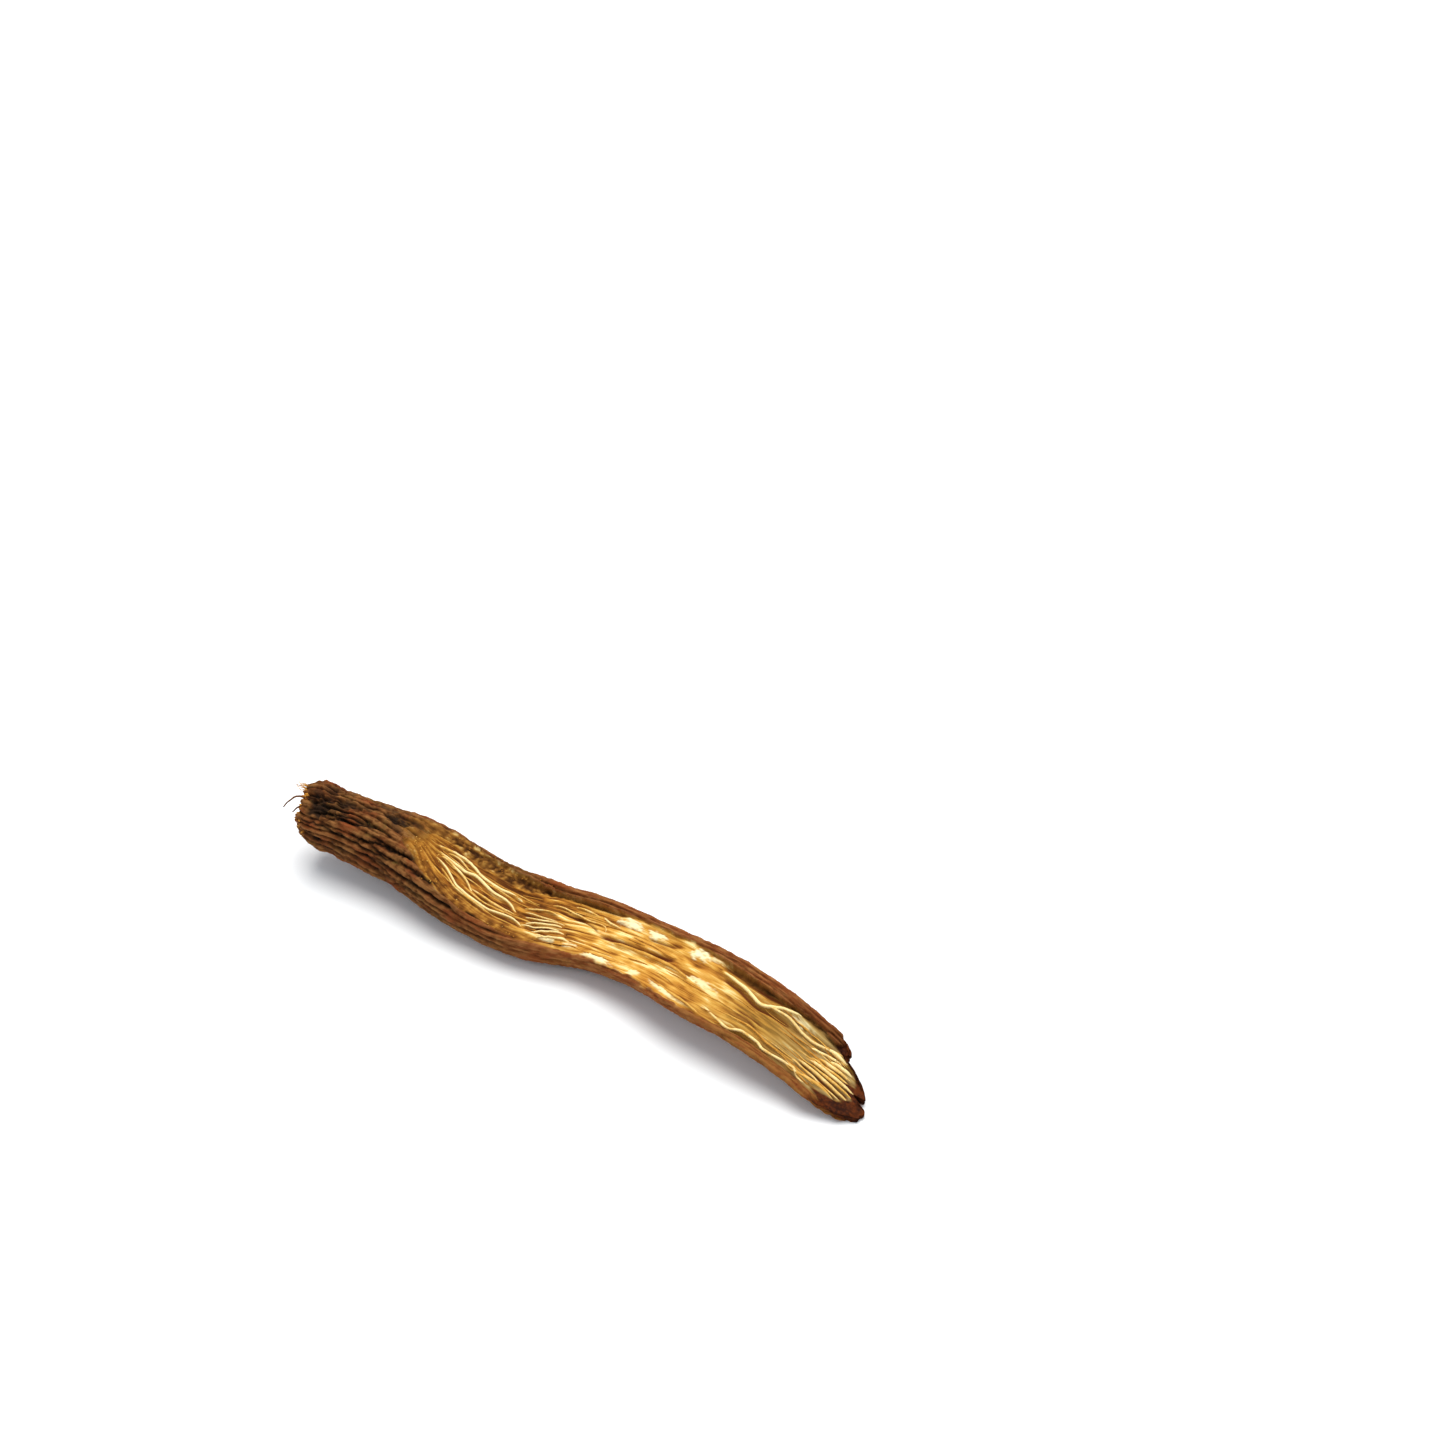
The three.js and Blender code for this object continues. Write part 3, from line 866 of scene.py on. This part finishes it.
def makeRootHairs(material):
    bm = bmesh.new()
    tones = bm.verts.layers.float.new("crest")
    dice = random.Random(rootHairs["seed"])

    def addHair(start, reach, radius, tone, curl):
        start, reach = Vector(start), Vector(reach)
        kind = dice.uniform(0, 50)
        points = []
        for step in range(11):
            share = step / 10
            wave = Vector((0, cloud(share * 3, kind), cloud(share * 3, kind, 4))) * 0.2 * share
            bend = Vector((0, 0.2, 0.5)) * curl * share * (1 - share)
            point = start + reach * share + (bend + wave) * reach.length
            points.append((point, radius * (1 - 0.5 * share)))
        count = len(bm.verts)
        growStrand(bm, points, 6)
        bm.verts.ensure_lookup_table()
        for vertex in bm.verts[count:]:
            vertex[tones] = tone

    def jitter(size):
        return Vector([dice.uniform(-size, size) for axis in range(3)])

    for degrees, reach, radius, curl in rootHairs["long"]:
        addHair(crownPoint(degrees, 0.3, 0), reach, radius, 0.06, curl)
    for hair in range(rootHairs["tuft"]):
        start = crownPoint(rootHairs["tuftDegrees"] + dice.uniform(-9, 9), dice.uniform(0.1, 0.7), -0.15)
        reach = Vector(rootHairs["tuftReach"]) * dice.uniform(0.4, 1.1) + jitter(0.25)
        addHair(start, reach, rootHairs["radius"], dice.uniform(0.2, 0.65), 0.3)
    for hair in range(2 * rootHairs["tuft"]):
        start = crownPoint(dice.uniform(60, 250), dice.uniform(0.1, 0.8), -0.15)
        reach = jitter(0.35) + Vector((-0.3, 0, 0))
        addHair(start, reach, rootHairs["radius"] * 0.7, dice.uniform(0.3, 0.8), 0.5)
    return finishStrands("root_hairs", bm, material)


crumbs = {
    "seed": 23,
    # groups on the cut face: how many, distance from and to, across from and to, size, how pale from and to
    "groups": [
        (40, 14.4, 19.0, -0.42, 0.05, 0.18, 0.30, 0.70), (34, 16.0, 29.5, 0.66, 0.79, 0.17, 0.20, 0.60),
        (16, 17.0, 30.0, 0.46, 0.66, 0.15, 0.10, 0.40), (36, 19.0, 36.0, -0.80, -0.54, 0.17, 0.30, 0.75),
        (60, 15.0, 32.0, 0.80, 0.93, 0.20, 0.00, 0.35), (10, 30.0, 40.0, 0.40, 0.75, 0.14, 0.30, 0.60),
        (14, 66.0, 71.0, -0.80, -0.50, 0.16, 0.10, 0.40),
    ],
    "crownRim": 110,
    "crownSize": 0.34,
}


def addCrumb(bm, tones, dice, point, size, tone):
    stretch = Matrix.Diagonal((dice.uniform(0.9, 2.0), dice.uniform(0.6, 1.1), dice.uniform(0.5, 1.0), 1))
    turn = Matrix.Rotation(dice.uniform(0, math.tau), 4, Vector([dice.uniform(-1, 1) for axis in range(3)]))
    made = bmesh.ops.create_icosphere(bm, subdivisions=1, radius=size / 2,
                                      matrix=Matrix.Translation(point) @ turn @ stretch)
    for vertex in made["verts"]:
        vertex.co += Vector([dice.uniform(-1, 1) for axis in range(3)]) * size * 0.12
        vertex[tones] = clamp(tone + dice.uniform(-0.15, 0.15))


def makeCrumbs(material):
    bm = bmesh.new()
    tones = bm.verts.layers.float.new("crest")
    dice = random.Random(crumbs["seed"])
    for count, low, high, near, far, size, dull, pale in crumbs["groups"]:
        for crumb in range(count):
            point = surfacePoint(dice.uniform(low, high), dice.uniform(near, far), -0.02)
            addCrumb(bm, tones, dice, point, size * dice.uniform(0.5, 1.3), dice.uniform(dull, pale))
    for crumb in range(crumbs["crownRim"]):
        point = crownPoint(dice.uniform(40, 270), abs(dice.gauss(0, 0.45)), dice.uniform(-0.15, 0.05))
        size = crumbs["crownSize"] * dice.uniform(0.5, 1.3)
        addCrumb(bm, tones, dice, point, size, dice.uniform(0.0, 0.65))
    return finishStrands("loose_crumbs", bm, material)


def newMaterial(name):
    material = bpy.data.materials.new(name)
    material.use_nodes = True
    tree = material.node_tree
    return material, tree, tree.nodes["Principled BSDF"]


def plug(tree, socket, value):
    if isinstance(value, bpy.types.NodeSocket):
        tree.links.new(value, socket)
    else:
        socket.default_value = value


def addNode(tree, kind, inputs=None, **settings):
    node = tree.nodes.new(kind)
    for key, value in settings.items():
        setattr(node, key, value)
    for key, value in (inputs or {}).items():
        plug(tree, node.inputs[key], value)
    return node


def attribute(tree, name, output="Fac"):
    return addNode(tree, "ShaderNodeAttribute", attribute_name=name).outputs[output]


def maths(tree, kind, a, b=0.0, c=0.0):
    return addNode(tree, "ShaderNodeMath", {0: a, 1: b, 2: c}, operation=kind).outputs[0]


def product(tree, a, b):
    return maths(tree, "MULTIPLY", a, b)


def added(tree, value, mask, size, shift):
    # A value with a mask's variation added to it.
    return maths(tree, "ADD", value, maths(tree, "MULTIPLY_ADD", mask, size, shift))


def blendColour(tree, below, above, mask, strength=1.0):
    # Lays a colour over another where the mask is.
    share = mask if strength == 1 else product(tree, mask, strength)
    return addNode(tree, "ShaderNodeMix", {0: share, 6: below, 7: above}, data_type="RGBA").outputs[2]


def remap(tree, value, low, high, newLow=0.0, newHigh=1.0):
    return addNode(tree, "ShaderNodeMapRange", {"Value": value, "From Min": low, "From Max": high,
                                                "To Min": newLow, "To Max": newHigh}).outputs[0]


def addBump(tree, shader, height, strength, depth):
    bumpy = addNode(tree, "ShaderNodeBump", {"Strength": strength, "Distance": depth, "Height": height})
    tree.links.new(bumpy.outputs[0], shader.inputs["Normal"])


def colourRamp(tree, value, stops):
    node = addNode(tree, "ShaderNodeValToRGB", {"Fac": value})
    elements = node.color_ramp.elements
    for place, colour in stops[1:-1]:
        elements.new(place).color = colour
    elements[0].color = stops[0][1]
    elements[-1].color = stops[-1][1]
    return node.outputs[0]


def cloudy(tree, place, scale, detail, roughness=0.6):
    return addNode(tree, "ShaderNodeTexNoise",
                   {"Vector": place, "Scale": scale, "Detail": detail, "Roughness": roughness}).outputs[0]


def makeStreaks():
    # Noise drawn out along the grain, as a mask.
    group = bpy.data.node_groups.new("streaks", "ShaderNodeTree")
    group.interface.new_socket("Place", in_out="INPUT", socket_type="NodeSocketVector")
    for label in ("Along", "Across", "Detail"):
        group.interface.new_socket(label, in_out="INPUT", socket_type="NodeSocketFloat")
    group.interface.new_socket("Mask", in_out="OUTPUT", socket_type="NodeSocketFloat")
    given, made = group.nodes.new("NodeGroupInput").outputs, group.nodes.new("NodeGroupOutput")
    scale = addNode(group, "ShaderNodeCombineXYZ",
                    {"X": given["Along"], "Y": given["Across"], "Z": given["Across"]})
    drawn = addNode(group, "ShaderNodeVectorMath", {0: given["Place"], 1: scale.outputs[0]},
                    operation="MULTIPLY")
    noisy = cloudy(group, drawn.outputs[0], 1.0, given["Detail"])
    group.links.new(remap(group, noisy, 0.3, 0.7), made.inputs["Mask"])
    return group


streaksGroup = makeStreaks()


def streaks(tree, place, along, across, detail=4.0):
    values = {"Place": place, "Along": along, "Across": across, "Detail": detail}
    return addNode(tree, "ShaderNodeGroup", values, node_tree=streaksGroup).outputs["Mask"]


rootColours = {
    # by ridge height: painted shade in the furrows, painted light on the ridge tops
    "barkStops": [
        (0.0, (0.007, 0.003, 0.002, 1)), (0.32, (0.038, 0.012, 0.003, 1)), (0.64, (0.110, 0.037, 0.009, 1)),
        (1.0, (0.260, 0.108, 0.032, 1)),
    ],
    "rust": (0.200, 0.045, 0.012, 1),
    "olive": (0.130, 0.076, 0.018, 1),
    # near black: painted shade in the furrows and hollows
    "soot": (0.010, 0.006, 0.004, 1),
    "fibreStops": [
        (0.0, (0.090, 0.026, 0.004, 1)), (0.25, (0.270, 0.092, 0.011, 1)), (0.50, (0.540, 0.240, 0.033, 1)),
        (0.75, (0.720, 0.405, 0.080, 1)), (1.0, (0.950, 0.750, 0.340, 1)),
    ],
    "start": (0.310, 0.118, 0.014, 1),
    "orange": (0.520, 0.200, 0.028, 1),
    "tan": (0.330, 0.190, 0.036, 1),
    "grey": (0.390, 0.290, 0.120, 1),
    # near-white cream of the pale patches, in part a painted highlight
    "glintCream": (0.960, 0.880, 0.520, 1),
    "grooveBrown": (0.120, 0.028, 0.006, 1),
    "stripStops": [
        (0.0, (0.035, 0.012, 0.003, 1)), (0.40, (0.150, 0.058, 0.011, 1)), (0.75, (0.350, 0.160, 0.030, 1)),
        (1.0, (0.620, 0.430, 0.150, 1)),
    ],
    "rim": (0.230, 0.058, 0.014, 1),
    "rimPale": (0.360, 0.148, 0.045, 1),
    "rimDark": (0.080, 0.018, 0.004, 1),
    "rimGold": (0.280, 0.110, 0.022, 1),
    "resin": (0.026, 0.005, 0.001, 1),
    "resinRed": (0.115, 0.024, 0.003, 1),
}


rootFinish = {
    "shine": 0.06,
    "roughness": 0.78,
    "resinSmoother": 0.20,
    "grainDepth": 0.0001,
    "grainStrength": 0.6,
}


def barkColour(tree, crest, fine, wide, dusty, patchy, distance, aside):
    # Umber ridges with near black furrows, rusty and olive streaks, paler rims along the cut. The ramp by
    # ridge height paints shade into the furrows and light onto the ridge tops, over the bark's own streaky
    # tone.
    tone = rootColours
    ridgeShadeAndTone = added(tree, crest, fine, 0.45, -0.25)
    bark = colourRamp(tree, added(tree, ridgeShadeAndTone, dusty, 0.5, -0.26), tone["barkStops"])
    rust = product(tree, remap(tree, wide, 0.5, 0.85), remap(tree, ridgeShadeAndTone, 0.25, 0.7))
    bark = blendColour(tree, bark, tone["rust"], rust, 0.8)
    olive = product(tree, remap(tree, wide, 0.45, 0.15), remap(tree, dusty, 0.45, 0.62))
    bark = blendColour(tree, bark, tone["olive"], olive, 0.75)

    rim = blendColour(tree, tone["rim"], tone["rimPale"], remap(tree, fine, 0.35, 0.9))
    nearTip = product(tree, remap(tree, aside, -1.0, -2.6), remap(tree, distance, 50, 60))
    gilded = maths(tree, "MAXIMUM", product(tree, remap(tree, patchy, 0.52, 0.62), 0.6), nearTip)
    rim = blendColour(tree, rim, tone["rimGold"], product(tree, gilded, remap(tree, fine, 0.1, 0.6)))
    farTip = product(tree, remap(tree, aside, 0.5, 1.5), remap(tree, distance, 61, 69))
    rim = blendColour(tree, rim, tone["rimDark"], farTip, 0.75)
    return blendColour(tree, bark, rim, remap(tree, distance, 22, 38), 0.65)


def cutColour(tree, crest, hairline, silky, dusty, patchy, distance):
    # Cream fibres, gold between them, orange brown in the gaps, duller towards the tip.
    tone = rootColours
    fibre = added(tree, added(tree, crest, hairline, 0.40, -0.20), silky, 0.30, -0.15)
    face = colourRamp(tree, fibre, tone["fibreStops"])
    face = blendColour(tree, face, tone["orange"], remap(tree, patchy, 0.5, 0.7), 0.45)
    face = blendColour(tree, face, tone["tan"], remap(tree, distance, 52, 64), 0.65)
    greying = product(tree, remap(tree, distance, 62, 69), remap(tree, fibre, 0.05, 0.40))
    face = blendColour(tree, face, tone["grey"], greying, 0.70)
    face = blendColour(tree, face, tone["start"], remap(tree, distance, 19.5, 15), 0.70)
    # painted highlight in part: glints of the cut face laid on as near-white cream
    face = blendColour(tree, face, tone["glintCream"], attribute(tree, "paleGlint"), 0.95)
    # the groove mask also carries the painted shade of the trenches beside raised fibres
    face = blendColour(tree, face, tone["grooveBrown"], remap(tree, attribute(tree, "groove"), 0.1, 0.9))
    strip = colourRamp(tree, added(tree, crest, dusty, 0.6, -0.3), tone["stripStops"])
    return blendColour(tree, face, strip, attribute(tree, "strip"))


def makeRootMaterial():
    material, tree, shader = newMaterial("driedRoot")
    place = attribute(tree, "straight", "Vector")
    crest = attribute(tree, "crest")
    resin = attribute(tree, "resin")
    apart = addNode(tree, "ShaderNodeSeparateXYZ", {0: place}).outputs
    distance, aside = apart[0], apart[1]
    dusty = cloudy(tree, place, 2.4, 5.0, 0.7)
    patchy = cloudy(tree, place, 0.35, 3.0)
    wide = streaks(tree, place, 0.22, 0.6)
    fine = streaks(tree, place, 0.6, 3.4)
    silky = streaks(tree, place, 0.14, 2.4)
    hairline = streaks(tree, place, 0.5, 7.5, 3.0)

    bark = barkColour(tree, crest, fine, wide, dusty, patchy, distance, aside)
    face = cutColour(tree, crest, hairline, silky, dusty, patchy, distance)
    colour = blendColour(tree, face, bark, remap(tree, attribute(tree, "bark"), 0.05, 0.95))
    # painted shade: furrows and hollows darkened towards near black
    colour = blendColour(tree, colour, rootColours["soot"], attribute(tree, "soot"))
    blotchy = remap(tree, maths(tree, "MULTIPLY_ADD", patchy, 1.2, dusty), 0.98, 1.28)
    tarry = blendColour(tree, rootColours["resin"], rootColours["resinRed"], blotchy)
    colour = blendColour(tree, colour, tarry, resin)
    tree.links.new(colour, shader.inputs["Base Color"])

    shader.inputs["Specular IOR Level"].default_value = rootFinish["shine"]
    rough = maths(tree, "MULTIPLY_ADD", resin, -rootFinish["resinSmoother"], rootFinish["roughness"])
    tree.links.new(rough, shader.inputs["Roughness"])
    relief = maths(tree, "ADD", product(tree, hairline, 0.6), product(tree, dusty, 0.8))
    addBump(tree, shader, relief, rootFinish["grainStrength"], rootFinish["grainDepth"])
    return material


fibreFinish = {
    "shine": 0.10,
    "roughnessSpread": 0.2,
    "speckle": 3500.0,
    "grainDepth": 0.00004,
    "grainStrength": 0.4,
}


def makeFibreMaterial(name, roughness):
    # For the loose strands and crumbs: the same colours as the cut face, by how pale each is.
    material, tree, shader = newMaterial(name)
    place = addNode(tree, "ShaderNodeTexCoord").outputs["Object"]
    speckle = cloudy(tree, place, fibreFinish["speckle"], 4.0)
    pale = added(tree, attribute(tree, "crest"), speckle, 0.5, -0.25)
    tree.links.new(colourRamp(tree, pale, rootColours["fibreStops"]), shader.inputs["Base Color"])
    shader.inputs["Specular IOR Level"].default_value = fibreFinish["shine"]
    rough = remap(tree, speckle, 0.3, 0.7, roughness, roughness + fibreFinish["roughnessSpread"])
    tree.links.new(rough, shader.inputs["Roughness"])
    addBump(tree, shader, speckle, fibreFinish["grainStrength"], fibreFinish["grainDepth"])
    return material


rootMaterial = makeRootMaterial()
fibreMaterial = makeFibreMaterial("paleFibre", 0.55)
crumbMaterial = makeFibreMaterial("barkCrumb", 0.70)
print("materials made")
body = makeBody(rootMaterial)
print("slice made:", len(body.data.polygons), "faces")
lifted = makeLiftedFibres(fibreMaterial)
print("fibres made:", len(lifted.data.polygons), "faces")
hairs = makeRootHairs(crumbMaterial)
loose = makeCrumbs(crumbMaterial)
print("hairs and crumbs made:", len(hairs.data.polygons) + len(loose.data.polygons), "faces")
